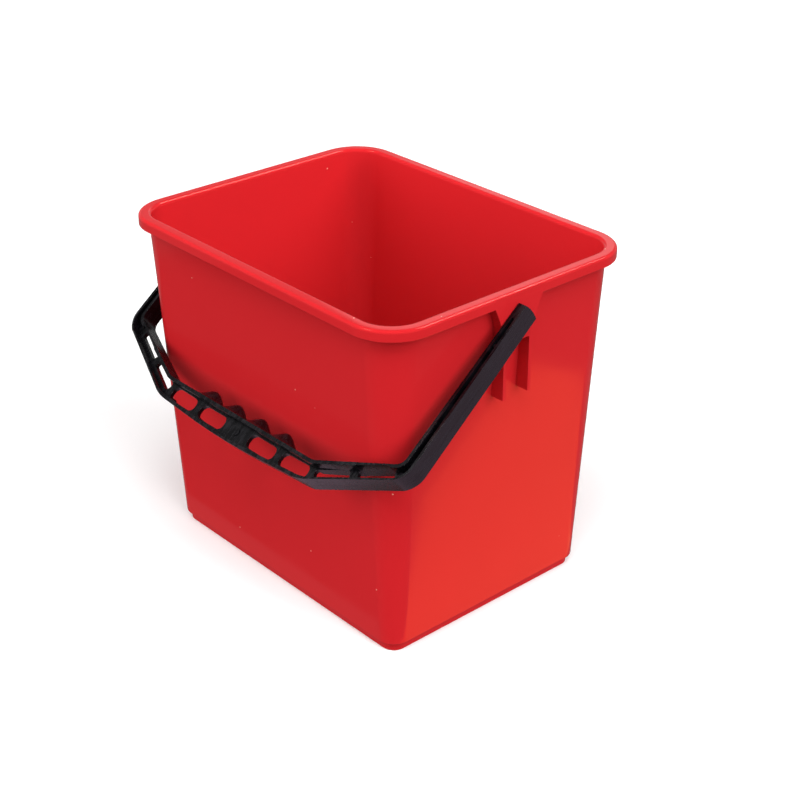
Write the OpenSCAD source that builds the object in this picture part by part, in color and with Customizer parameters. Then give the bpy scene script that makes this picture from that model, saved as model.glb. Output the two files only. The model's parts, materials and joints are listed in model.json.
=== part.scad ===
// Rectangular wash bucket with a swinging carrying handle.
// X runs along the long side and the hinge line, -Y is the front, +Z is up.
// The origin is the centre of the foot ring's underside.

/* [Bucket] */
// Overall height, from the foot ring to the top of the rim
bucket_h = 230; // [220:1:240]
// Length of the shell at the rim, outside the wall
top_len = 248; // [240:1:256]
// Width of the shell at the rim, outside the wall
top_wid = 191; // [184:1:198]
// Length of the shell at its foot, outside the wall
bottom_len = 226; // [218:1:232]
// Width of the shell at its foot, outside the wall
bottom_wid = 167; // [160:1:172]
// Corner radius at the rim
top_corner = 23; // [18:0.5:26]
// Corner radius at the foot
bottom_corner = 12; // [9:0.5:16]
// Thickness of the wall and the floor
wall = 2.2; // [1.6:0.1:3]

/* [Rim] */
// How far the rim stands out from the wall
rim_out = 6.4; // [5:0.2:8]
// Height of the rim's outer face
rim_h = 7.2; // [6:0.2:9]
// Thickness of the turned-down rim
rim_wall = 2; // [1.4:0.1:2.4]

/* [Foot ring] */
// Height of the foot ring
foot_h = 6; // [4:0.5:8]
// How far the foot ring is set in from the wall
foot_inset = 3; // [2:0.5:5]

/* [Pivot pads] */
// Height of the hinge line
pivot_z = 214.4; // [212:0.2:216]
// Half width of the pad between the outsides of its two ribs
pad_half = 11.5; // [10:0.5:14]
// Half width of the pad where it joins the rim
pad_flare_half = 19.5; // [16:0.5:22]
// Height at which the pad starts to flare towards the rim
flare_z = 190; // [180:1:196]
// Lower edge of the pad's face
pad_face_z = 199; // [196:0.5:202]
// Lower end of the two ribs
rib_z = 161.5; // [150:0.5:180]
// Thickness of the pad's face and ribs
pad_wall = 2.4; // [1.8:0.1:2.8]
// Radius of the hole in the pad
bore_r = 4.1; // [3.6:0.1:4.6]

/* [Handle] */
// Angle of the handle from straight down, towards the front
rest_angle = 51; // [48:1:60]
// Depth of the handle, square to its plane
handle_depth = 14; // [12:0.5:16]
// Outer half width of the handle at the hinge line
arm_top_x = 136.8; // [136:0.1:138]
// Outer half width of the handle at its upper bend
arm_low_x = 139.2; // [138:0.1:141]
// Width of an arm in the handle's plane
arm_w = 5.8; // [5:0.1:6]
// Distance from the hinge line to the outer corner of the upper bend
bend_drop = 119; // [115:0.5:122]
// Half length of the grip between its outer corners
grip_half = 71.2; // [68:0.2:74]
// Distance from the hinge line to the outer corner of the grip
grip_drop = 150.1; // [148:0.1:152]
// Bow of the grip's outer edge
grip_bow = 3.9; // [2:0.1:5]
// Distance from the hinge line to the grip's inner face
grip_inner_drop = 135.6; // [133:0.1:138]
// Thickness of the two walls of the handle's section
handle_wall = 2; // [1.6:0.1:2.4]
// Thickness of the web between the walls
web = 3; // [2:0.1:4]
// How far the middle of the web lies behind the middle of the section
web_back = 1.4; // [0:0.1:2]

/* [Slots] */
// Length of the slots in the grip
slot_len = 25.6; // [20:0.2:27]
// Height of the slots in the grip
slot_h = 9.6; // [8:0.2:10]
// Distance of the inner pair of slots from the middle
inner_slot_x = 25.5; // [25:0.1:26]
// Distance of the outer pair of slots from the middle
outer_slot_x = 56.6; // [56:0.1:58]
// Length of the slots in the sloping stretches
slope_slot_len = 25; // [20:0.5:26]
// Height of the slots in the sloping stretches
slope_slot_h = 6.2; // [4:0.2:7]

/* [Finger bumps] */
// Distance between neighbouring bumps
bump_pitch = 24.5; // [23:0.1:25]
// Height of a bump above the grip's inner face
bump_h = 7.2; // [4:0.1:8]

/* [Hidden] */
$fn = 48;

rim_x = top_len / 2 + rim_out;
rim_y = top_wid / 2 + rim_out;
rim_corner = top_corner + rim_out;
land = 0.5;
stud_r = bore_r - 0.05;
stud_head_r = stud_r + 0.8;
arm_end = 5.3;
inner_bend_x = 131.1;
inner_bend_drop = 111.8;
inner_grip_half = 72.8;
slot_r = 3.8;
slope_slot_r = 2.4;
arc_steps = 10;

// ---- outlines -------------------------------------------------------

// Rectangle of half sizes hx and hy with true round corners.
module round_rect(hx, hy, r) {
    square([2 * hx, 2 * (hy - r)], center = true);
    square([2 * (hx - r), 2 * hy], center = true);
    for (sx = [-1, 1], sy = [-1, 1])
        translate([sx * (hx - r), sy * (hy - r)])
            circle(r);
}

// Slab that a tapered shell is stretched between.
module slab(hx, hy, r, z) {
    translate([0, 0, z])
        linear_extrude(land)
            round_rect(hx, hy, r, $fn = 32);
}

function unit(v) = v / norm(v);
function left_of(v) = [-v[1], v[0]];
function xy(p) = [p[0], p[1]];

// Direction from one corner of a path to the next.
function leg(path, i) =
    unit(xy(path[(i + 1) % len(path)]) - xy(path[i]));
function leg_before(path, i) = leg(path, (i + len(path) - 1) % len(path));

// Turn at a corner, positive to the left.
function turn(path, i) =
    let (a = leg_before(path, i), b = leg(path, i))
        atan2(a[0] * b[1] - a[1] * b[0], a * b);

// Path moved to its left by t, keeping every corner's arc centre.
function shift_path(path, t) = [
    for (i = [0 : len(path) - 1])
        let (
            a = left_of(leg_before(path, i)),
            b = left_of(leg(path, i)),
            p = xy(path[i]) + t * (a + b) / (1 + a * b),
            r = path[i][2] - sign(turn(path, i)) * t
        )
        [p[0], p[1], max(r, 0.2)]
];

// Corners [x, y, radius] turned into points, each corner as an arc.
function rounded(path) = [
    for (i = [0 : len(path) - 1])
        let (
            p = xy(path[i]),
            a = leg_before(path, i),
            side = sign(turn(path, i)),
            bend = abs(turn(path, i)),
            r = path[i][2],
            start = p - a * r * tan(bend / 2),
            centre = start + side * left_of(a) * r,
            steps = max(2, round(arc_steps * bend / 90))
        )
        for (k = [0 : steps])
            let (angle = bend * k / steps)
                centre + r * (sin(angle) * a - side * cos(angle) * left_of(a))
];

// Outline of the handle, seen from its front and run anticlockwise:
// outside from left to right, then back along the inside.
handle_path = [
    [-arm_top_x, arm_end, 0.8],
    [-arm_low_x, -bend_drop, 14],
    [-grip_half, -grip_drop, 32],
    [0, -grip_drop - grip_bow, 640],
    [grip_half, -grip_drop, 32],
    [arm_low_x, -bend_drop, 14],
    [arm_top_x, arm_end, 0.8],
    [arm_top_x - arm_w, arm_end, 0.8],
    [inner_bend_x, -inner_bend_drop, 6.5],
    [inner_grip_half, -grip_inner_drop, 20],
    [-inner_grip_half, -grip_inner_drop, 20],
    [-inner_bend_x, -inner_bend_drop, 6.5],
    [-arm_top_x + arm_w, arm_end, 0.8]
];

// ---- bucket ---------------------------------------------------------

module shell_outside() {
    hull() {
        slab(bottom_len / 2, bottom_wid / 2, bottom_corner, foot_h);
        slab(top_len / 2, top_wid / 2, top_corner, bucket_h - land);
    }
}

module shell_inside() {
    hull() {
        slab(bottom_len / 2 - wall, bottom_wid / 2 - wall,
             bottom_corner - wall, foot_h + wall);
        slab(top_len / 2 - wall, top_wid / 2 - wall,
             top_corner - wall, bucket_h);
    }
}

// Turned-down rim: a flat top and an outer skirt, open underneath.
module rim() {
    translate([0, 0, bucket_h - rim_h])
        linear_extrude(rim_h)
            difference() {
                round_rect(rim_x, rim_y, rim_corner);
                round_rect(rim_x - rim_wall, rim_y - rim_wall,
                           rim_corner - rim_wall);
            }
    translate([0, 0, bucket_h - rim_wall])
        linear_extrude(rim_wall)
            round_rect(rim_x, rim_y, rim_corner);
}

module foot_ring() {
    foot_x = bottom_len / 2 - foot_inset;
    foot_y = bottom_wid / 2 - foot_inset;
    foot_r = bottom_corner - foot_inset;
    linear_extrude(foot_h + wall / 2)
        difference() {
            round_rect(foot_x, foot_y, foot_r);
            round_rect(foot_x - wall, foot_y - wall, foot_r - wall);
        }
}

// Half width of the pad at height z: upright, then a hollow flare.
flare_rise = bucket_h - rim_h - flare_z;
flare_out = pad_flare_half - pad_half;
flare_r = (flare_rise * flare_rise + flare_out * flare_out) / (2 * flare_out);
function pad_width(z) =
    pad_half + flare_r - sqrt(flare_r * flare_r - pow(max(z - flare_z, 0), 2));

// Outline of the pad, grown by t, from z_low up into the rim.
module pad_outline(t, z_low) {
    z_top = bucket_h - rim_wall / 2;
    z_flare = bucket_h - rim_h;
    heights = [z_low, for (k = [0 : 8]) flare_z + k * flare_rise / 8, z_top];
    half = [for (z = heights) pad_width(min(z, z_flare)) + t];
    last = len(heights) - 1;
    polygon([
        for (k = [0 : last]) [half[k], heights[k]],
        for (k = [last : -1 : 0]) [-half[k], heights[k]]
    ]);
}

// Runs a Y-Z outline along X, from x_from to x_to.
module along_x(x_from, x_to) {
    translate([x_from, 0, 0])
        rotate([90, 0, 90])
            linear_extrude(x_to - x_from)
                children();
}

// Pad on the +X side: a face level with the rim, two ribs, open below.
module pivot_pad() {
    root_x = bottom_len / 2;
    difference() {
        along_x(root_x, rim_x)
            pad_outline(0, rib_z);
        along_x(root_x - 1, rim_x - pad_wall)
            pad_outline(-pad_wall, rib_z - 1);
        along_x(root_x - 1, rim_x + 1)
            polygon([
                [-pad_half + pad_wall, rib_z - 1],
                [pad_half - pad_wall, rib_z - 1],
                [pad_half - pad_wall, pad_face_z],
                [-pad_half + pad_wall, pad_face_z]
            ]);
    }
}

module pad_bores() {
    for (side = [-1, 1])
        translate([side * (rim_x - pad_wall / 2), 0, pivot_z])
            rotate([0, 90, 0])
                cylinder(r = bore_r, h = pad_wall + 2, center = true);
}

module bucket() {
    color("crimson")
        difference() {
            union() {
                shell_outside();
                rim();
                foot_ring();
                pivot_pad();
                mirror([1, 0, 0]) pivot_pad();
            }
            shell_inside();
            pad_bores();
        }
}

// ---- handle ---------------------------------------------------------

// Puts a shape drawn in the handle's plane where the handle rests.
// The drawing's origin is the hinge line and its +Z is the handle's front.
module in_handle_plane() {
    translate([0, 0, pivot_z])
        rotate([90 - rest_angle, 0, 0])
            children();
}

module handle_slab(from, to, inset) {
    translate([0, 0, from])
        linear_extrude(to - from)
            polygon(rounded(shift_path(handle_path, inset)));
}

// Recess on one face, between the two walls; the arm ends stay solid.
module channel(from, to) {
    solid_end = 5.6;
    rib_drop = 25;
    rib_w = 1.6;
    reach = 2 * arm_low_x;
    difference() {
        handle_slab(from, to, handle_wall);
        translate([-reach / 2, -solid_end, from - 1])
            cube([reach, 3 * solid_end, to - from + 2]);
        translate([-reach / 2, -rib_drop - rib_w / 2, from - 1])
            cube([reach, rib_w, to - from]);
    }
}

// Round-ended slot through the web, centred on the drawing's origin.
module slot(length, height, r) {
    linear_extrude(handle_depth + 2, center = true)
        round_rect(length / 2, height / 2, r);
}

// Two pairs in the grip; the outer pair follows the bowed edge.
module grip_slots() {
    middle_drop = (grip_inner_drop + grip_drop + grip_bow) / 2 - 0.7;
    outer_rise = 0.7;
    outer_tilt = 1.5;
    for (side = [-1, 1]) {
        translate([side * inner_slot_x, -middle_drop, 0])
            slot(slot_len, slot_h, slot_r);
        translate([side * outer_slot_x, -middle_drop + outer_rise, 0])
            rotate([0, 0, side * outer_tilt])
                slot(slot_len, slot_h, slot_r);
    }
}

// Two narrow slots in each sloping stretch, set out from the upper bend.
module slope_slots() {
    slope = unit([grip_half - arm_low_x, bend_drop - grip_drop]);
    inward = [slope[1], -slope[0]];
    angle = atan2(slope[1], slope[0]);
    slot_in = 6.3;
    first = 24.7;
    spacing = 31.2;
    for (side = [-1, 1], k = [0, 1]) {
        at = [arm_low_x, -bend_drop] + (first + k * spacing) * slope
            + slot_in * inward;
        translate([side * at[0], at[1], 0])
            rotate([0, 0, side * angle])
                slot(slope_slot_len, slope_slot_h, slope_slot_r);
    }
}

// Finger bump: a round bell, trimmed to the handle's depth.
module bump(x) {
    bell_r = bump_pitch / 2;
    root = 1;
    profile = [
        [0, -root],
        [bell_r, -root],
        for (k = [8 : -1 : 0])
            [bell_r * k / 8, bump_h * (0.5 + 0.5 * cos(180 * k / 8))]
    ];
    intersection() {
        translate([x, -grip_inner_drop, -web_back])
            rotate([-90, 0, 0])
                rotate_extrude()
                    polygon(profile);
        translate([0, -grip_inner_drop, 0])
            cube([2 * grip_half, 4 * bump_h, handle_depth], center = true);
    }
}

// Stud that snaps into the pad's hole, with a head behind the pad's face.
module stud() {
    arm_x = arm_top_x - arm_w;
    head_x = rim_x - pad_wall - 0.4;
    tip_x = head_x - 2;
    rotate([0, -90, 0]) {
        translate([0, 0, -arm_x - 1])
            cylinder(r = stud_r, h = arm_x + 1 - tip_x);
        translate([0, 0, -head_x])
            cylinder(r1 = stud_head_r, r2 = stud_r - 0.6, h = head_x - tip_x);
    }
}

module handle() {
    half = handle_depth / 2;
    web_front = -web_back + web / 2;
    web_rear = -web_back - web / 2;
    color("dimgray")
        in_handle_plane()
            union() {
                difference() {
                    handle_slab(-half, half, 0);
                    channel(web_front, half + 1);
                    channel(-half - 1, web_rear);
                    grip_slots();
                    slope_slots();
                }
                for (k = [-1.5 : 1 : 1.5])
                    bump(k * bump_pitch);
                stud();
                mirror([1, 0, 0]) stud();
            }
}

bucket();
handle();
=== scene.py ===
# %% [markdown]
# # A plastic wash bucket with a swinging handle
#
# The real object is two mouldings: a red bucket and a black handle that snaps into it.
# The frame that is loaded here already holds both, at their true size and place, and knows
# how the handle swings. This lesson gives each of them its finished surface, so the sizes
# below are in millimetres, and one helper turns them into the metres Blender works in.

# %% Load the frame
import json
from math import copysign, cos, pi, radians, sin, sqrt, tan

import bmesh
import bpy
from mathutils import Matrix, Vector


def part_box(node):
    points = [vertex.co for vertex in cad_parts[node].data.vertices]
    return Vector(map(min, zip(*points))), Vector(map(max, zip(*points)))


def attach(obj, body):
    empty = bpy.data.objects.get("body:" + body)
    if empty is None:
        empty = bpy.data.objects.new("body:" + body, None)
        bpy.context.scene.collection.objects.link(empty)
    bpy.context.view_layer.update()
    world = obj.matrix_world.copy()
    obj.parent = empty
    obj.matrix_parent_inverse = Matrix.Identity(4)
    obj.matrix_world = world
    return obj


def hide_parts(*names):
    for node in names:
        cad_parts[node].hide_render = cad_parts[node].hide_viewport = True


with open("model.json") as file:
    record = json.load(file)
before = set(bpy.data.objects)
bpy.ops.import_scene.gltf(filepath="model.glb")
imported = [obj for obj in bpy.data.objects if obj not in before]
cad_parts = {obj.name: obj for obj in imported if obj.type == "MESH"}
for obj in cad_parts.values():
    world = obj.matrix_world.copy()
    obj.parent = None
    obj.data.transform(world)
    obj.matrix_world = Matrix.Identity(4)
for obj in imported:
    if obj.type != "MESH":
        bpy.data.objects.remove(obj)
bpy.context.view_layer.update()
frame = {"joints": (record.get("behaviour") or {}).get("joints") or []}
MM = 0.001
pivot = Vector(frame["joints"][0]["pos_m"]) / MM
bucket_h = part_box("bucket")[1][2] / MM
print("bucket height", round(bucket_h, 1), "mm, hinge line at", tuple(round(v, 1) for v in pivot))


# %% [markdown]
# ## Working in edit mode from a script
#
# An operator acts on whatever is selected, so every step starts by clearing the selection
# and then picking faces, edges or points by where they are. These helpers do that. Each one
# opens the mesh of the piece in hand, asks a question about each element, and selects it.

# %% Selection helpers
def deselect_all():
    if bpy.context.mode != "OBJECT":
        bpy.ops.object.mode_set(mode="OBJECT")
    bpy.ops.object.select_all(action="DESELECT")


def activate(piece):
    deselect_all()
    piece.select_set(True)
    bpy.context.view_layer.objects.active = piece


def edit():
    bpy.ops.object.mode_set(mode="EDIT")
    bpy.ops.mesh.select_mode(type="VERT")
    bpy.ops.mesh.select_all(action="DESELECT")


def done():
    bpy.ops.object.mode_set(mode="OBJECT")


def pick(piece, test, kind="verts"):
    """Selects the points, edges or faces of the open mesh for which test is true."""
    bpy.ops.mesh.select_all(action="DESELECT")
    mesh = bmesh.from_edit_mesh(piece.data)
    chosen = [element for element in getattr(mesh, kind) if test(element)]
    for element in chosen:
        element.select_set(True)
    mesh.select_flush_mode()
    bmesh.update_edit_mesh(piece.data)


def apply_modifiers(piece):
    activate(piece)
    for modifier in list(piece.modifiers):
        bpy.ops.object.modifier_apply(modifier=modifier.name)


def combine(piece, other, operation):
    """Joins the other shape to the piece, or cuts it out, and removes the other shape."""
    activate(piece)
    bpy.ops.object.modifier_add(type="BOOLEAN")
    modifier = piece.modifiers[-1]
    modifier.operation = operation
    modifier.solver = "EXACT"
    modifier.object = other
    bpy.ops.object.modifier_apply(modifier=modifier.name)
    bpy.data.objects.remove(other, do_unlink=True)


# %% [markdown]
# Many shapes start as a flat outline. It is drawn as by hand: one point is extruded from corner
# to corner, and the loop is filled. The outline stays open for editing, so that its corners can
# be rounded before it gets a depth.

# %% Drawing an outline
def start_piece(name):
    """Begins a piece as one small plane, open for editing and all selected."""
    deselect_all()
    bpy.ops.mesh.primitive_plane_add(size=1)
    piece = bpy.context.object
    piece.name = name
    edit()
    bpy.ops.mesh.select_all(action="SELECT")
    return piece


def draw_outline(name, corners):
    """Traces corners of (x, y) in the XY plane by extruding a point, and fills them."""
    piece = start_piece(name)
    bpy.ops.mesh.merge(type="CENTER")
    places = [Vector((x * MM, y * MM, 0)) for x, y in corners]
    bpy.ops.transform.translate(value=places[0])
    for last, place in zip(places, places[1:]):
        bpy.ops.mesh.extrude_region_move(TRANSFORM_OT_translate={"value": place - last})
    bpy.ops.mesh.select_all(action="SELECT")
    bpy.ops.mesh.edge_face_add()
    return piece


# %% [markdown]
# ## The camera
#
# The bucket is seen from its front right corner, a little from above, with a long lens that
# keeps the walls nearly parallel. The camera is placed by turning it about a target inside
# the bucket, so one angle can be changed at a time.

# %% Camera
cam_yaw = 48.431
cam_pitch = 27.890
cam_distance = 1081.4
cam_target = Vector((26.22, 0, 117.15))
cam_lens = 75.039

deselect_all()
yaw = radians(cam_yaw)
pitch = radians(cam_pitch)
backwards = Vector((sin(yaw) * cos(pitch), -cos(yaw) * cos(pitch), sin(pitch)))
cam_place = (cam_target + backwards * cam_distance) * MM
bpy.ops.object.camera_add(location=cam_place, rotation=(pi / 2 - pitch, 0, yaw))
camera = bpy.context.object
camera.data.lens = cam_lens
camera.data.sensor_width = 36
camera.data.clip_start = 0.05
bpy.context.scene.camera = camera
print("camera at", tuple(round(v, 3) for v in cam_place))


# %% [markdown]
# ## A pale studio
#
# Three small helpers come first. Colours are written as the hex codes of a paint chart, which
# have to be made linear for a shader. Nodes are added with their settings and links in one call.

# %% Colours, nodes and materials
def hex_to_linear(code):
    """An sRGB hex colour, such as c81e24, as the linear colour that a shader takes."""
    channels = [int(code[i:i + 2], 16) / 255 for i in (0, 2, 4)]
    linear = [c / 12.92 if c <= 0.04045 else ((c + 0.055) / 1.055) ** 2.4 for c in channels]
    return (*linear, 1)


def add_node(owner, kind, links=None, **settings):
    """Adds a node, sets its values by name, and links its inputs from other nodes' outputs."""
    node = owner.node_tree.nodes.new(kind)
    for name, value in settings.items():
        if hasattr(node, name):
            setattr(node, name, value)
        else:
            node.inputs[name.replace("_", " ")].default_value = value
    for name, output in (links or {}).items():
        owner.node_tree.links.new(output, node.inputs[name])
    return node


def new_material(name):
    material = bpy.data.materials.new(name)
    material.use_nodes = True
    return material, material.node_tree.nodes["Principled BSDF"]


# %% [markdown]
# A colour and its gloss are easiest to light apart. Three distant lamps as broad as softboxes
# light the colours, and stay out of the reflections. Three narrower ones are only seen as
# reflections, and draw the bright lines along the round edges of the rim. One set of lamps
# could do both, but a lamp that is strong enough for the colour whitens the black handle.

# %% Lamps
def soft_lamp(name, towards, spread, strength, shine=False):
    """A distant lamp as wide as its spread in degrees, for the colour or for the shine."""
    bpy.ops.object.light_add(type="SUN")
    lamp = bpy.context.object
    lamp.name = name
    lamp.data.energy = strength
    lamp.data.angle = radians(spread)
    lamp.rotation_euler = Vector(towards).to_track_quat("Z", "Y").to_euler()
    lamp.visible_diffuse = not shine
    lamp.visible_glossy = shine


soft_lamp("top_lamp", (0.35, -0.35, 1), 30, 1.5)
soft_lamp("right_lamp", (1, 0.1, 0.65), 50, 2.3)
soft_lamp("front_lamp", (-0.6, -1, 0.4), 60, 2.1)
soft_lamp("side_shine", (0.25, 0.55, 0.8), 24, 3.2, shine=True)
soft_lamp("front_shine", (-0.26, -0.55, 0.79), 20, 2.4, shine=True)
soft_lamp("back_shine", (-0.62, 0.66, 0.42), 13, 0.04, shine=True)


# %% [markdown]
# The floor is a wide white sheet with a little light of its own, so that it stays white all the
# way. The gloss doesn't see it. Flat glossy walls mirror whatever lies beside them, so two cards
# on the floor, which only a reflection can see, choose what that is: a warm one that brightens
# the right wall up to the line where the card ends, and a pale one for the handle's undersides.
# The pale one is laid round the warm one with a gap, and the warm one starts a little off the
# bucket, so that the foot ring, which is set back, doesn't see it and stays dark.

# %% Floor and reflected cards
floor_size = 12

deselect_all()
bpy.ops.mesh.primitive_plane_add(size=floor_size, location=(0, 0, 0))
floor = bpy.context.object
floor.name = "floor"
paper, paper_shader = new_material("white_paper")
paper_shader.inputs["Base Color"].default_value = hex_to_linear("f6f6f6")
paper_shader.inputs["Roughness"].default_value = 0.9
paper_shader.inputs["Specular IOR Level"].default_value = 0.1
paper_shader.inputs["Emission Color"].default_value = (1, 1, 1, 1)
paper_shader.inputs["Emission Strength"].default_value = 0.15
floor.data.materials.append(paper)
floor.visible_glossy = False
floor.visible_diffuse = False


card_lift = 0.4
card_gap = 8
card_edge = [(164, -23), (230, 49), (272, 134), (317, 234)]
warm_outline = [(118, -79)] + card_edge + [(275, 270), (118, 104)]
pale_outline = (
    [(-460, -100), (105, -100)] + [(x + card_gap, y) for x, y in card_edge]
    + [(185, 350), (100, 350), (100, 520), (640, 520), (640, -430), (-460, -430)])


def lit_card(name, corners, colour, strength):
    """A bright sheet just above the floor that is seen only as a reflection."""
    card = draw_outline(name, corners)
    bpy.ops.mesh.select_all(action="SELECT")
    bpy.ops.transform.translate(value=(0, 0, card_lift * MM))
    done()
    glow, glow_shader = new_material(name + "_glow")
    glow_shader.inputs["Base Color"].default_value = (0, 0, 0, 1)
    glow_shader.inputs["Emission Color"].default_value = hex_to_linear(colour)
    glow_shader.inputs["Emission Strength"].default_value = strength
    card.data.materials.append(glow)
    card.visible_camera = False
    card.visible_diffuse = False
    card.visible_shadow = False
    return card


warm_card = lit_card("warm_card", warm_outline, "ff8445", 2.8)
pale_card = lit_card("pale_card", pale_outline, "ffd5f0", 0.9)
print("floor", floor_size, "m wide, with", warm_card.name, "and", pale_card.name)


# %% [markdown]
# The sky is bright at the horizon and dims overhead, as white walls do round a dark ceiling, and
# gives a low even light from below in place of the floor's. A picture of a studio could do this
# too, but a ramp of greys over the height is enough for a plain object.

# %% Sky
low_light = (0.22, 0.22, 0.22, 1)
wall_light = (0.7, 0.7, 0.7, 1)
below_horizon = 0.495
above_horizon = 0.505
ceiling_start = 0.75

world = bpy.data.worlds.new("studio")
bpy.context.scene.world = world
world.use_nodes = True
sky_place = add_node(world, "ShaderNodeTexCoord").outputs["Generated"]
sky_axes = add_node(world, "ShaderNodeSeparateXYZ", {"Vector": sky_place})
sky_height = add_node(world, "ShaderNodeMapRange", {"Value": sky_axes.outputs["Z"]}, From_Min=-1.0)
sky = add_node(world, "ShaderNodeValToRGB", {"Fac": sky_height.outputs["Result"]})
sky.color_ramp.elements[0].position = below_horizon
sky.color_ramp.elements[0].color = low_light
sky.color_ramp.elements[1].position = above_horizon
sky.color_ramp.elements[1].color = wall_light
overhead = sky.color_ramp.elements.new(ceiling_start)
overhead.color = low_light
background = world.node_tree.nodes["Background"]
world.node_tree.links.new(sky.outputs["Color"], background.inputs["Color"])
bpy.context.scene.view_settings.view_transform = "Standard"
print("sky stops:", [round(stop.position, 3) for stop in sky.color_ramp.elements])


# %% [markdown]
# ## Red polypropylene
#
# The bucket is injection-moulded polypropylene, coloured right through, from a polished mould:
# a satin gloss that gives soft mirror images. Its shine looks warm, because part of the light
# that the skin sends back has been through red plastic, so the reflection is tinted. The walls
# are never quite flat, and handling has left tiny pale marks and an uneven gloss.

# %% Red polypropylene material
bucket_red, red_shader = new_material("red_polypropylene")
red_links = bucket_red.node_tree.links
red_shader.inputs["IOR"].default_value = 1.49
red_shader.inputs["Specular IOR Level"].default_value = 0.32
red_shader.inputs["Specular Tint"].default_value = hex_to_linear("ff6f59")
red_place = add_node(bucket_red, "ShaderNodeTexCoord").outputs["Object"]

# The pigment is a little uneven over a hand's width.
red_cloud = add_node(bucket_red, "ShaderNodeTexNoise", {"Vector": red_place}, Scale=9.0, Detail=2.0)
red_base = add_node(
    bucket_red, "ShaderNodeMix", {"Factor": red_cloud.outputs["Fac"]}, data_type="RGBA",
    A=hex_to_linear("cf2429"), B=hex_to_linear("d8262c"))

# Pale specks up to 1 mm across, where dust or a nick shows white. They are scattered through
# space, 20 mm apart, so only the few that meet the skin are seen.
speck_spacing = 0.020
speck_size = 0.0005
speck_cells = add_node(
    bucket_red, "ShaderNodeTexVoronoi", {"Vector": red_place}, Scale=1 / speck_spacing)
speck_mask = add_node(
    bucket_red, "ShaderNodeMath", {0: speck_cells.outputs["Distance"]}, operation="LESS_THAN")
speck_mask.inputs[1].default_value = speck_size / speck_spacing
red_specked = add_node(
    bucket_red, "ShaderNodeMix",
    {"Factor": speck_mask.outputs["Value"], "A": red_base.outputs["Result"]}, data_type="RGBA",
    B=hex_to_linear("f0a090"))
red_links.new(red_specked.outputs["Result"], red_shader.inputs["Base Color"])

# Handling leaves the gloss slightly uneven, in patches a few centimetres wide.
rub_cloud = add_node(
    bucket_red, "ShaderNodeTexNoise", {"Vector": red_place}, Scale=34.0, Detail=6.0, Roughness=0.65)
rub_range = add_node(
    bucket_red, "ShaderNodeMapRange", {"Value": rub_cloud.outputs["Fac"]},
    From_Min=0.35, From_Max=0.7, To_Min=0.10, To_Max=0.17)
red_links.new(rub_range.outputs["Result"], red_shader.inputs["Roughness"])

# The thin walls ripple by a tenth of a millimetre over 80 mm as they cool.
ripple = add_node(bucket_red, "ShaderNodeTexNoise", {"Vector": red_place}, Scale=12.0, Detail=0.0)
red_bump = add_node(
    bucket_red, "ShaderNodeBump", {"Height": ripple.outputs["Fac"]}, Strength=1.0, Distance=0.0004)
red_links.new(red_bump.outputs["Normal"], red_shader.inputs["Normal"])
print(bucket_red.name, "has", len(bucket_red.node_tree.nodes), "nodes")


# %% [markdown]
# ## Black polypropylene
#
# The handle is the same plastic in black, from a plainer mould. Its skin has streaks where the
# melt flowed along the arms, scuffs from hands and shelves, and a faint line all round where
# the two halves of the mould met. The patterns follow the handle, so their coordinates are first
# turned and moved from the hanging place back to the flat drawing that the handle starts as.
# The fine streaks take some strength from its mirror images, so the index of refraction is set
# lower than the plastic's own 1.49.

# %% Black polypropylene material
rest_angle = 51.0
parting_line = -1.4
parting_half = 0.2

handle_black, black_shader = new_material("black_polypropylene")
black_links = handle_black.node_tree.links
black_shader.inputs["IOR"].default_value = 1.3
black_place = add_node(handle_black, "ShaderNodeTexCoord").outputs["Object"]
flat_place = add_node(
    handle_black, "ShaderNodeMapping", {"Vector": black_place}, vector_type="TEXTURE",
    Location=pivot * MM, Rotation=(pi / 2 - radians(rest_angle), 0, 0))

# Streaks 2 mm wide and ten times as long, multiplied by clouds of scuffs 10 mm wide.
long_place = add_node(
    handle_black, "ShaderNodeMapping", {"Vector": flat_place.outputs["Vector"]},
    Scale=(1, 0.1, 1))
streaks = add_node(
    handle_black, "ShaderNodeTexNoise", {"Vector": long_place.outputs["Vector"]},
    Scale=480.0, Detail=4.0, Roughness=0.6)
scuffs = add_node(
    handle_black, "ShaderNodeTexNoise", {"Vector": flat_place.outputs["Vector"]},
    Scale=100.0, Detail=6.0, Roughness=0.7)
worn = add_node(
    handle_black, "ShaderNodeMath", {0: streaks.outputs["Fac"], 1: scuffs.outputs["Fac"]},
    operation="MULTIPLY")
wear = add_node(
    handle_black, "ShaderNodeMapRange", {"Value": worn.outputs["Value"]},
    From_Min=0.2, From_Max=0.36)
black_base = add_node(
    handle_black, "ShaderNodeMix", {"Factor": wear.outputs["Result"]}, data_type="RGBA",
    A=hex_to_linear("08070a"), B=hex_to_linear("17151a"))
black_links.new(black_base.outputs["Result"], black_shader.inputs["Base Color"])
gloss = add_node(
    handle_black, "ShaderNodeMapRange", {"Value": wear.outputs["Result"]},
    To_Min=0.24, To_Max=0.34)
black_links.new(gloss.outputs["Result"], black_shader.inputs["Roughness"])

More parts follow.
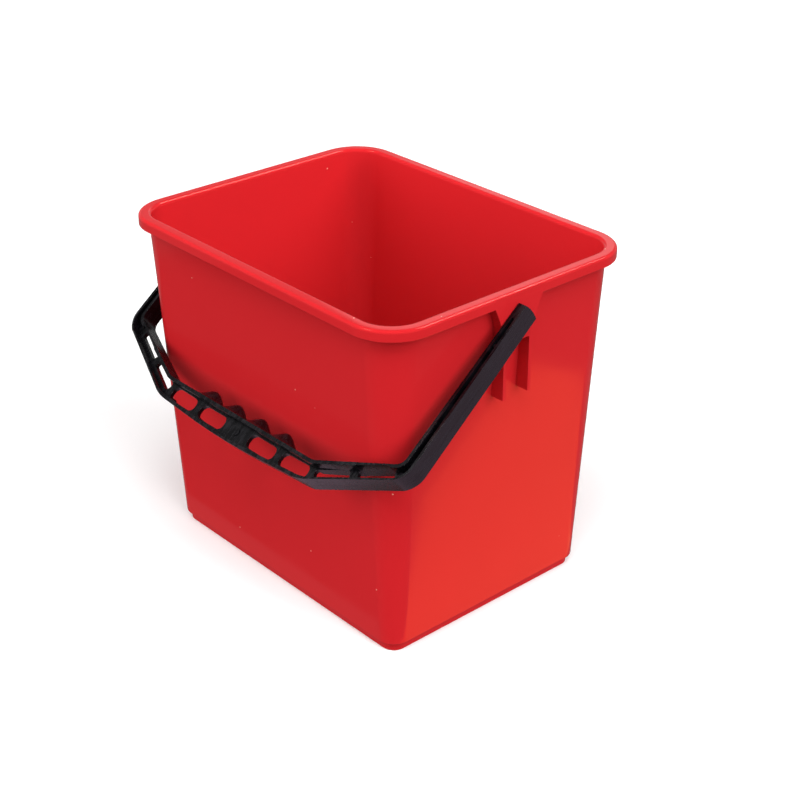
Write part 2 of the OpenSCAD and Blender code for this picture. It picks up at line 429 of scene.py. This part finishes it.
# The streaks stand a few hundredths of a millimetre high, and the parting line a tenth. The
# line is drawn as wide as it needs to be to show.
streak_bump = add_node(
    handle_black, "ShaderNodeBump", {"Height": streaks.outputs["Fac"]},
    Strength=1.0, Distance=0.00006)
flat_axes = add_node(
    handle_black, "ShaderNodeSeparateXYZ", {"Vector": flat_place.outputs["Vector"]})
on_parting = add_node(
    handle_black, "ShaderNodeMath", {0: flat_axes.outputs["Z"]}, operation="COMPARE")
on_parting.inputs[1].default_value = parting_line * MM
on_parting.inputs[2].default_value = parting_half * MM
parting_bump = add_node(
    handle_black, "ShaderNodeBump",
    {"Height": on_parting.outputs["Value"], "Normal": streak_bump.outputs["Normal"]},
    Strength=1.0, Distance=0.0001)
black_links.new(parting_bump.outputs["Normal"], black_shader.inputs["Normal"])
print(handle_black.name, "has", len(handle_black.node_tree.nodes), "nodes")


# %% [markdown]
# ## The bucket's walls
#
# The shell is one smooth skin that can be read as a stack of rounded rectangles: from the inner
# floor up the inside, over the rim, and down the outside to the foot. The first is a plane whose
# four corners are bevelled, and each of the others is extruded from the one before. A stack gives
# the true corner radius at every height, which tapering a box would not.

# %% Bucket sizes
top_half = Vector((124.0, 95.5))
foot_half = Vector((112.9, 83.4))
top_corner = 23.3
foot_corner = 12.2
wall = 2.2
rim_out = 6.4
rim_h = 7.2
rim_skin = 1.8
foot_h = 6.1
foot_inset = 3.1
corner_segments = 14


def outside_at(height):
    """Half length, half width and corner radius of the wall's outside at a height."""
    share = (height - foot_h) / (bucket_h - foot_h)
    half = foot_half.lerp(top_half, share)
    return half.x, half.y, foot_corner + (top_corner - foot_corner) * share


def ring(height, outwards, of_height=None):
    """A rounded rectangle standing off from the wall's outside."""
    x, y, r = outside_at(height if of_height is None else of_height)
    return x + outwards, y + outwards, max(r + outwards, 0.6), height


# %% [markdown]
# The stack is listed from the middle of the inner floor outwards. Round edges are short arcs
# of rings: `arc` gives them from a centre, a radius and two angles. The walls lean, so an arc at
# the rim or the foot measures its distance from the wall's place at that one height.

# %% The stack of rings
floor_round = 7.0
mouth_round = 2.4
rim_round = 2.0
rim_top_mid = 2.2
rim_edge_round = 0.5
rim_inside_edge_round = 0.4
rim_inside_round = 1.2
rim_root_round = 1.0
wall_foot_round = 1.2
foot_edge_round = 0.5
foot_round = 0.7


def arc(centre_out, centre_z, radius, start, end, steps, of_height=None):
    """Rings along a quarter-round; an angle of 0 is outwards and 90 is up."""
    rings = []
    for k in range(steps + 1):
        angle = radians(start + (end - start) * k / steps)
        height = centre_z + radius * sin(angle)
        rings.append(ring(height, centre_out + radius * cos(angle), of_height))
    return rings


def at_rim(out, z, radius, start, end, steps):
    return arc(out, z, radius, start, end, steps, top)


def at_foot(out, z, radius, start, end, steps):
    return arc(out, z, radius, start, end, steps, foot_h)


top = bucket_h
floor_top = foot_h + wall
skirt_low = top - rim_h
skin_out = rim_out - rim_skin
skin_top = top - rim_skin
foot_in = -foot_inset - wall
wall_heights = (60, 130, 190)

# Up the inside, from the floor to the mouth.
stack = arc(-wall - floor_round, floor_top + floor_round, floor_round, 270, 360, 6)
stack += [ring(height, -wall) for height in wall_heights]
stack += at_rim(mouth_round - wall, top - mouth_round, mouth_round, 180, 90, 6)
# Over the rim, round its lower edge and up inside its skirt.
stack += [ring(top, rim_top_mid, top)]
stack += at_rim(rim_out - rim_round, top - rim_round, rim_round, 90, 0, 6)
stack += at_rim(rim_out - rim_edge_round, skirt_low + rim_edge_round, rim_edge_round, 0, -90, 3)
stack += at_rim(skin_out + rim_inside_edge_round, skirt_low + rim_inside_edge_round,
                rim_inside_edge_round, 270, 180, 2)
stack += at_rim(skin_out - rim_inside_round, skin_top - rim_inside_round,
                rim_inside_round, 0, 90, 3)
stack += at_rim(rim_root_round, skin_top - rim_root_round, rim_root_round, 90, 180, 3)
# Down the outside, and round the foot ring to the underside.
stack += [ring(height, 0) for height in reversed(wall_heights)]
stack += arc(-wall_foot_round, foot_h + wall_foot_round, wall_foot_round, 0, -90, 3)
stack += at_foot(-foot_inset + foot_edge_round, foot_h - foot_edge_round, foot_edge_round,
                 90, 180, 2)
stack += at_foot(-foot_inset - foot_round, foot_round, foot_round, 0, -90, 3)
stack += at_foot(foot_in + foot_edge_round, foot_edge_round, foot_edge_round, 270, 180, 2)
stack += [ring(foot_h, foot_in, foot_h)]
print("rings in the stack:", len(stack))


# %% [markdown]
# To build it, the first ring is made from a plane with bevelled corners. Its edge is extruded
# in place again and again, and each new copy is moved out to the next ring of the stack, so that
# every ring has the same number of points and the faces between them are four-sided.

# %% Build the shell
def move_ring(piece, old, new):
    """Moves the selected ring of points from one rounded rectangle to another."""
    mesh = bmesh.from_edit_mesh(piece.data)
    for point in [p for p in mesh.verts if p.select]:
        side = Vector((copysign(1, point.co.x), copysign(1, point.co.y)))
        spoke = point.co.xy / MM - side * Vector((old[0] - old[2], old[1] - old[2]))
        place = side * Vector((new[0] - new[2], new[1] - new[2])) + spoke * (new[2] / old[2])
        point.co = (place.x * MM, place.y * MM, new[3] * MM)
    bmesh.update_edit_mesh(piece.data)


def loft(name, rings):
    """A closed skin over a stack of rings, each extruded from the one before."""
    piece = start_piece(name)
    first = rings[0]
    bpy.ops.transform.resize(value=(2 * first[0] * MM, 2 * first[1] * MM, 1))
    bpy.ops.transform.translate(value=(0, 0, first[3] * MM))
    bpy.ops.mesh.bevel(
        offset=first[2] * MM, segments=corner_segments, profile=0.5, affect="VERTICES",
        clamp_overlap=False)
    bpy.ops.mesh.select_mode(type="EDGE")
    bpy.ops.mesh.select_all(action="SELECT")
    for old, new in zip(rings, rings[1:]):
        bpy.ops.mesh.extrude_edges_move()
        move_ring(piece, old, new)
    bpy.ops.mesh.edge_face_add()
    bpy.ops.mesh.select_all(action="SELECT")
    bpy.ops.mesh.remove_doubles(threshold=0.00001)
    bpy.ops.mesh.normals_make_consistent(inside=False)
    done()
    return piece


shell = loft("bucket_shell", stack)
print("shell faces:", len(shell.data.polygons))


# %% [markdown]
# ## The pivot pads
#
# On each end the rim's outer face runs down into a flat pad that carries the handle. The pad
# is a flared plate, level with the rim, with a rib down each edge that stands on the wall. It
# is drawn as an outline, point by point, thickened, and hollowed from below, then joined to
# the shell, so that the two share one surface as a moulding does. Extruding it out of the wall
# would be quicker, but the wall's faces don't follow the pad's flare.

# %% Round a corner, give depth, place
def round_corner(piece, corner, radius, segments=8):
    """Rounds one corner of the open outline to a radius."""
    x, y = corner
    place = Vector((x * MM, y * MM, 0))
    pick(piece, lambda point: (point.co - place).length < 0.00001)
    mesh = bmesh.from_edit_mesh(piece.data)
    point = next(p for p in mesh.verts if p.select)
    legs = [(edge.other_vert(point).co - point.co).normalized() for edge in point.link_edges]
    turn = pi - legs[0].angle(legs[1])
    bpy.ops.mesh.bevel(
        offset=radius * tan(turn / 2) * MM, segments=segments, profile=0.5,
        affect="VERTICES", clamp_overlap=False)


def thicken(low, high):
    """Turns the open outline into a solid between two depths, and closes the editor."""
    bpy.ops.mesh.select_all(action="SELECT")
    bpy.ops.transform.translate(value=(0, 0, low * MM))
    bpy.ops.mesh.extrude_region_move(
        TRANSFORM_OT_translate={"value": (0, 0, (high - low) * MM)})
    bpy.ops.mesh.select_all(action="SELECT")
    bpy.ops.mesh.normals_make_consistent(inside=False)
    done()


def place_piece(piece, turn, place=(0, 0, 0)):
    """Turns and moves a piece, and writes its new place into its mesh."""
    activate(piece)
    piece.rotation_euler = turn
    piece.location = Vector(place) * MM
    bpy.ops.object.transform_apply(location=True, rotation=True, scale=True)


# %% [markdown]
# The pad's outline is straight up to the flare, and then opens along an arc that ends at the
# rim's lower edge. The block and the hollow inside it use the same outline at two sizes.

# %% Pad sizes and outline
pad_half = 11.5
pad_flare_half = 19.3
pad_wall = 2.3
flare_start = 192
pad_face_low = 198
rib_low = 161.5
pad_x = top_half.x + rim_out
bore_r = 4.1
pad_back = foot_half.x - 2
cutter_back = foot_half.x - 5
window_round = 1.2
pad_edge_round = 0.35
flare_steps = 10
flare_rise = skirt_low - flare_start
flare_out = pad_flare_half - pad_half
flare_r = (flare_rise ** 2 + flare_out ** 2) / (2 * flare_out)
upright = (pi / 2, 0, pi / 2)


def pad_width(height):
    """Half width of the pad: straight, then a hollow flare that opens to the rim."""
    rise = min(max(height - flare_start, 0), flare_rise)
    return pad_half + flare_r - sqrt(flare_r ** 2 - rise ** 2)


def pad_outline(name, grow, low):
    flare = [flare_start + flare_rise * k / flare_steps for k in range(flare_steps + 1)]
    heights = [low] + flare + [top - 1]
    right = [(pad_width(h) + grow, h) for h in heights]
    left = [(-w, h) for w, h in reversed(right)]
    return draw_outline(name, right + left)


print("pad half width at the rim:", round(pad_width(skirt_low), 1), "mm")


# %% [markdown]
# One pad is finished on its own first: the block, less its hollow, less the window between the
# ribs. Whatever lies inside the wall's middle is then cut off, the pad is joined to the shell,
# and the bore for the handle's stud is cut through its face. The left pad is turned half round.

# %% Build the pads
for side in (1, -1):
    pad = pad_outline("pad", 0, rib_low)
    thicken(pad_back, pad_x)
    place_piece(pad, upright)
    hollow = pad_outline("hollow", -pad_wall, rib_low - 5)
    thicken(cutter_back, pad_x - pad_wall)
    place_piece(hollow, upright)
    combine(pad, hollow, "DIFFERENCE")
    inner = pad_half - pad_wall
    window = draw_outline("window", [
        (-inner, rib_low - 5), (inner, rib_low - 5), (inner, pad_face_low), (-inner, pad_face_low)])
    round_corner(window, (inner, pad_face_low), window_round, 4)
    round_corner(window, (-inner, pad_face_low), window_round, 4)
    thicken(cutter_back, pad_x + 5)
    place_piece(window, upright)
    combine(pad, window, "DIFFERENCE")
    activate(pad)
    bpy.ops.object.modifier_add(type="BEVEL")
    pad.modifiers[-1].width = pad_edge_round * MM
    pad.modifiers[-1].segments = 2
    pad.modifiers[-1].angle_limit = radians(50)
    apply_modifiers(pad)
    inside = loft("inside", [ring(foot_h, -wall / 2), ring(top + 5, -wall / 2)])
    combine(pad, inside, "DIFFERENCE")
    if side < 0:
        place_piece(pad, (0, 0, pi))
    combine(shell, pad, "UNION")
    deselect_all()
    bpy.ops.mesh.primitive_cylinder_add(
        vertices=48, radius=bore_r * MM, depth=8 * MM, rotation=(0, pi / 2, 0),
        location=(side * pad_x * MM, 0, pivot.z * MM))
    combine(shell, bpy.context.object, "DIFFERENCE")

print("shell with pads:", len(shell.data.polygons), "faces")


# %% [markdown]
# ## The handle
#
# The handle is drawn flat, hinge line at the origin and front face up, then turned into its
# hanging place. Its outline is a bar with straight arms, two sloping stretches and a grip
# whose outer edge bows a little. The bar is hollowed front and back by channels, which leave
# two flanges and a web in the shape of an H, and the web is pierced by slots. An H section swept
# along a path would be shorter to write, but its flanges would be equally thick all the way.

# %% Handle outline
depth = 14.0
half_depth = depth / 2
depth_slices = 12
grip_cuts = 119
arm_end = 5.2

# Each corner comes with the radius that it is rounded to.
outer_corners = [
    ((-139.2, -119.0), 14), ((-71.2, -150.1), 30), ((0, -154.1), 600),
    ((71.2, -150.1), 30), ((139.2, -119.0), 14)]
inner_corners = [
    ((131.1, -111.8), 6.5), ((72.8, -135.6), 10),
    ((-72.8, -135.6), 10), ((-131.1, -111.8), 6.5)]
bar_corners = (
    [(-136.8, arm_end)] + [c for c, r in outer_corners] + [(136.8, arm_end), (131.0, arm_end)]
    + [c for c, r in inner_corners] + [(-131.0, arm_end)])

handle = draw_outline("handle_moulding", bar_corners)
for corner, radius in outer_corners + inner_corners:
    round_corner(handle, corner, radius, 12)
grip_inner = inner_corners[1][0][1]
pick(handle, lambda e: all(abs(v.co.y / MM - grip_inner) < 0.01 for v in e.verts)
     and e.calc_length() > 0.05, "edges")
bpy.ops.mesh.subdivide(number_cuts=grip_cuts)
thicken(-half_depth, half_depth)
edit()
for k in range(1, depth_slices):
    bpy.ops.mesh.select_all(action="SELECT")
    bpy.ops.mesh.bisect(
        plane_co=(0, 0, (-half_depth + depth * k / depth_slices) * MM), plane_no=(0, 0, 1))
done()
print("bar faces:", len(handle.data.polygons))


# %% [markdown]
# Four finger bumps rise from the grip's inner face. Each is a smooth wave along the grip and
# across its depth: it starts level at the front edge, is highest behind the middle, and
# stays high towards the back. The outer face is crowned for the palm, and the arm ends are
# slightly domed. Sculpting could do this, but a formula keeps the four bumps alike.

# %% Shape the grip and the arm ends
bump_pitch = 24.5
bump_h = 7.2
bump_crest = -1.4
bump_back_fall = 0.3
bump_places = (-1.5, -0.5, 0.5, 1.5)
crown_r = 50.0
crown_end = 76
crown_fade = 12
grip_middle = grip_inner - 6
end_dome_r = 25


def wave(t):
    """A smooth hill: 1 at the middle, 0 one unit away."""
    return 0.5 + 0.5 * cos(pi * min(abs(t), 1))


def bump_height(x, n):
    along = max(wave((x - k * bump_pitch) / (bump_pitch / 2)) for k in bump_places)
    if n > bump_crest:
        across = wave((n - bump_crest) / (half_depth - bump_crest))
    else:
        across = 1 - bump_back_fall * ((bump_crest - n) / (half_depth + bump_crest)) ** 2
    return bump_h * along * across


def crown_drop(x, n):
    fade = min(max((crown_end - abs(x)) / crown_fade, 0), 1)
    return fade * (half_depth - n) ** 2 / (2 * crown_r)


for point in handle.data.vertices:
    x, y, n = point.co / MM
    if abs(y - grip_inner) < 0.01 and abs(x) < inner_corners[1][0][0]:
        point.co.y += bump_height(x, n) * MM
    elif y < grip_middle:
        point.co.y += crown_drop(x, n) * MM
    elif y > arm_end - 0.01:
        point.co.y -= n * n / (2 * end_dome_r) * MM


# %% [markdown]
# The channels follow the bar's outline, set in by the thickness of each flange. Moving every
# edge of an outline inwards by its own distance and finding where neighbours cross gives the
# channel's corners. Insetting the face would be quicker, but it takes one distance all round.

# %% Channels and slots
web_front = 0.1
web_back = -2.9
end_block_low = -5.6
slot_len = 25.6
slot_round = 3.9
slope_slot = (25.4, 6.2, 2.2)
slope_slots_along = (24.7, 55.9)
slope_slots_in = 6.3
grip_line = -144.1
channel_rounds = (
    (1, 12), (2, 28), (4, 28), (5, 12), (8, 8), (9, 12), (10, 12), (11, 8))


def inset_corners(corners, distances):
    """Corners of the outline whose edges are moved inwards; edge k starts at corner k."""
    inset = []
    for k, corner in enumerate(corners):
        here = Vector(corner)
        before = (here - Vector(corners[k - 1])).normalized()
        after = (Vector(corners[(k + 1) % len(corners)]) - here).normalized()
        n1, n2 = Vector((-before.y, before.x)), Vector((-after.y, after.x))
        d1, d2 = distances[k - 1], distances[k]
        det = n1.x * n2.y - n1.y * n2.x
        inset.append((here.x + (d1 * n2.y - d2 * n1.y) / det,
                      here.y + (n1.x * d2 - n2.x * d1) / det))
    return inset


def cut_channel(name, flanges, low, high):
    """Cuts a channel whose flanges are (arm, slope, grip) thick, outside then inside."""
    (arm_o, slope_o, grip_o), (arm_i, slope_i, grip_i) = flanges
    end = arm_end - end_block_low
    distances = [arm_o, slope_o, grip_o, grip_o, slope_o, arm_o, end,
                 arm_i, slope_i, grip_i, slope_i, arm_i, end]
    corners = inset_corners(bar_corners, distances)
    cutter = draw_outline(name, corners)
    for k, radius in channel_rounds:
        round_corner(cutter, corners[k], radius, 10)
    thicken(low, high)
    combine(handle, cutter, "DIFFERENCE")


def cut_slot(centre, length, height, radius, turn=0):
    """Cuts a slot with rounded corners right through the web."""
    x, y = length / 2, height / 2
    corners = [(-x, -y), (x, -y), (x, y), (-x, y)]
    cutter = draw_outline("slot", corners)
    for corner in corners:
        round_corner(cutter, corner, radius, 6)
    thicken(-depth, depth)
    place_piece(cutter, (0, 0, turn), (*centre, 0))
    combine(handle, cutter, "DIFFERENCE")


cut_channel("front_channel", ((1.8, 1.3, 2.4), (2.2, 2.3, 2.3)), web_front, depth)
cut_channel("back_channel", ((1.8, 2.4, 4.2), (2.2, 2.3, 2.3)), -depth, web_back)
slope_start = Vector(outer_corners[4][0])
slope_way = (Vector(outer_corners[3][0]) - slope_start).normalized()
slope_in = Vector((slope_way.y, -slope_way.x))
slope_turn = slope_way.angle_signed(Vector((-1, 0)))
for side in (1, -1):
    cut_slot((side * 25.5, grip_line), slot_len, 9.5, slot_round)
    cut_slot((side * 56.6, -143.4), slot_len, 9.2, slot_round, side * radians(1.5))
    for along in slope_slots_along:
        middle = slope_start + slope_way * along + slope_in * slope_slots_in
        cut_slot((side * middle.x, middle.y), *slope_slot, side * slope_turn)
print("handle after cutting:", len(handle.data.polygons), "faces")


# %% [markdown]
# Last come the small things: a rib across each arm's channel, the round mark in the middle of
# the grip where the melt came in, fine round edges all over, which catch the light, and a stud
# with a snap head at each end.

# %% Ribs, studs and round edges
arm_rib_x = 134.2
arm_rib_low = Vector((-2.6, -25.9, 0))
arm_rib_high = Vector((2.2, -24.1, half_depth - 0.8))
gate_r = 2.6
gate_depth = 1.4
handle_edge_round = 0.5
stud = (bore_r - 0.05, 132, 125.2)
snap_head = (bore_r + 0.7, 127.5, 125.4)
print("stud radius", round(stud[0], 2), "mm in a bore of", bore_r, "mm")


def add_bar(low, high):
    """A box between two corners, in the flat drawing's millimetres."""
    deselect_all()
    bpy.ops.mesh.primitive_cube_add(size=1, location=(low + high) / 2 * MM)
    bpy.context.object.scale = (high - low) * MM
    bpy.ops.object.transform_apply(location=True, rotation=False, scale=True)
    return bpy.context.object


for side in (1, -1):
    rib_place = Vector((side * arm_rib_x, 0, 0))
    rib = add_bar(rib_place + arm_rib_low, rib_place + arm_rib_high)
    combine(handle, rib, "UNION")

deselect_all()
bpy.ops.mesh.primitive_cylinder_add(
    vertices=32, radius=gate_r * MM, depth=gate_depth * MM,
    location=(0, grip_line * MM, 0))
combine(handle, bpy.context.object, "UNION")

activate(handle)
bpy.ops.object.modifier_add(type="BEVEL")
handle.modifiers[-1].width = handle_edge_round * MM
handle.modifiers[-1].segments = 2
handle.modifiers[-1].angle_limit = radians(40)
apply_modifiers(handle)

for side in (1, -1):
    for radius, start, end in (stud, snap_head):
        deselect_all()
        bpy.ops.mesh.primitive_cylinder_add(
            vertices=48, radius=radius * MM, depth=(start - end) * MM,
            rotation=(0, pi / 2, 0), location=(side * (start + end) / 2 * MM, 0, 0))
        combine(handle, bpy.context.object, "UNION")
place_piece(handle, (pi / 2 - radians(rest_angle), 0, 0), pivot)
print("handle with studs:", len(handle.data.polygons), "faces")


# %% [markdown]
# ## Finish
#
# Both pieces are shaded smooth except across their sharp edges, take their plastics, stand
# for the plain frame shapes, and ride on the bodies that move them.

# %% Smooth, colour and attach
def finish_piece(piece, material, node, body):
    activate(piece)
    bpy.ops.object.shade_smooth_by_angle(angle=radians(35))
    bpy.ops.object.modifier_add(type="WEIGHTED_NORMAL")
    piece.modifiers[-1].keep_sharp = True
    apply_modifiers(piece)
    piece.data.materials.clear()
    piece.data.materials.append(material)
    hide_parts(node)
    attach(piece, body)
    print(piece.name, "has", len(piece.data.polygons), "faces")


finish_piece(shell, bucket_red, "bucket", "bucket_body")
finish_piece(handle, handle_black, "handle", "handle_body")


# %% [markdown]
# Last, each card is told which piece it may light.

# %% Link the cards
# Light linking makes each card shine on its own piece only.
for card, piece in ((warm_card, shell), (pale_card, handle)):
    reached = bpy.data.collections.new(card.name + "_reaches")
    reached.objects.link(piece)
    card.light_linking.receiver_collection = reached
